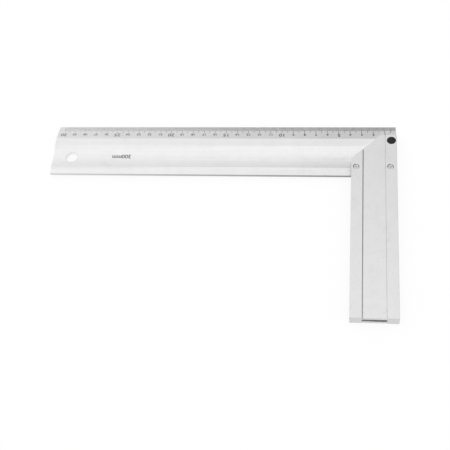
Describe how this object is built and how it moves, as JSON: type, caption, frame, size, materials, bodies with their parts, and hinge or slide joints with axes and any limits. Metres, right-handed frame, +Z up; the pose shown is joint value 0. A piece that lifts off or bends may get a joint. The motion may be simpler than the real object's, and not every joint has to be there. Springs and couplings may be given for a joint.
{
  "type": "aluminium square",
  "caption": "Fixed joiner's square: a graduated aluminium rule with a ridged section, set at a right angle into the forked, mitred end of a hollow aluminium stock.",
  "frame": {"origin": "centre of the bounding box in plan, on the flat face that the stock lies on", "axes": "+X along the blade from its free end to the stock, +Y across the blade from its inner edge to its scale edge, +Z up out of the face that carries the scale"},
  "size_m": [0.3056, 0.1872, 0.0098],
  "materials": {
    "stock_aluminium": "satin, drawn along its length",
    "blade_aluminium": "satin anodised, brushed along its length",
    "screw_steel": "bright zinc plated",
    "plug_plastic": "fine satin moulding",
    "scale_ink": "thin matt print"
  },
  "bodies": {
    "root": {"stock": "stock_aluminium", "blade": "blade_aluminium", "inner_screw": "screw_steel", "outer_screw": "screw_steel", "corner_screw": "screw_steel", "corner_plug": "plug_plastic"}
  },
  "joints": []
}
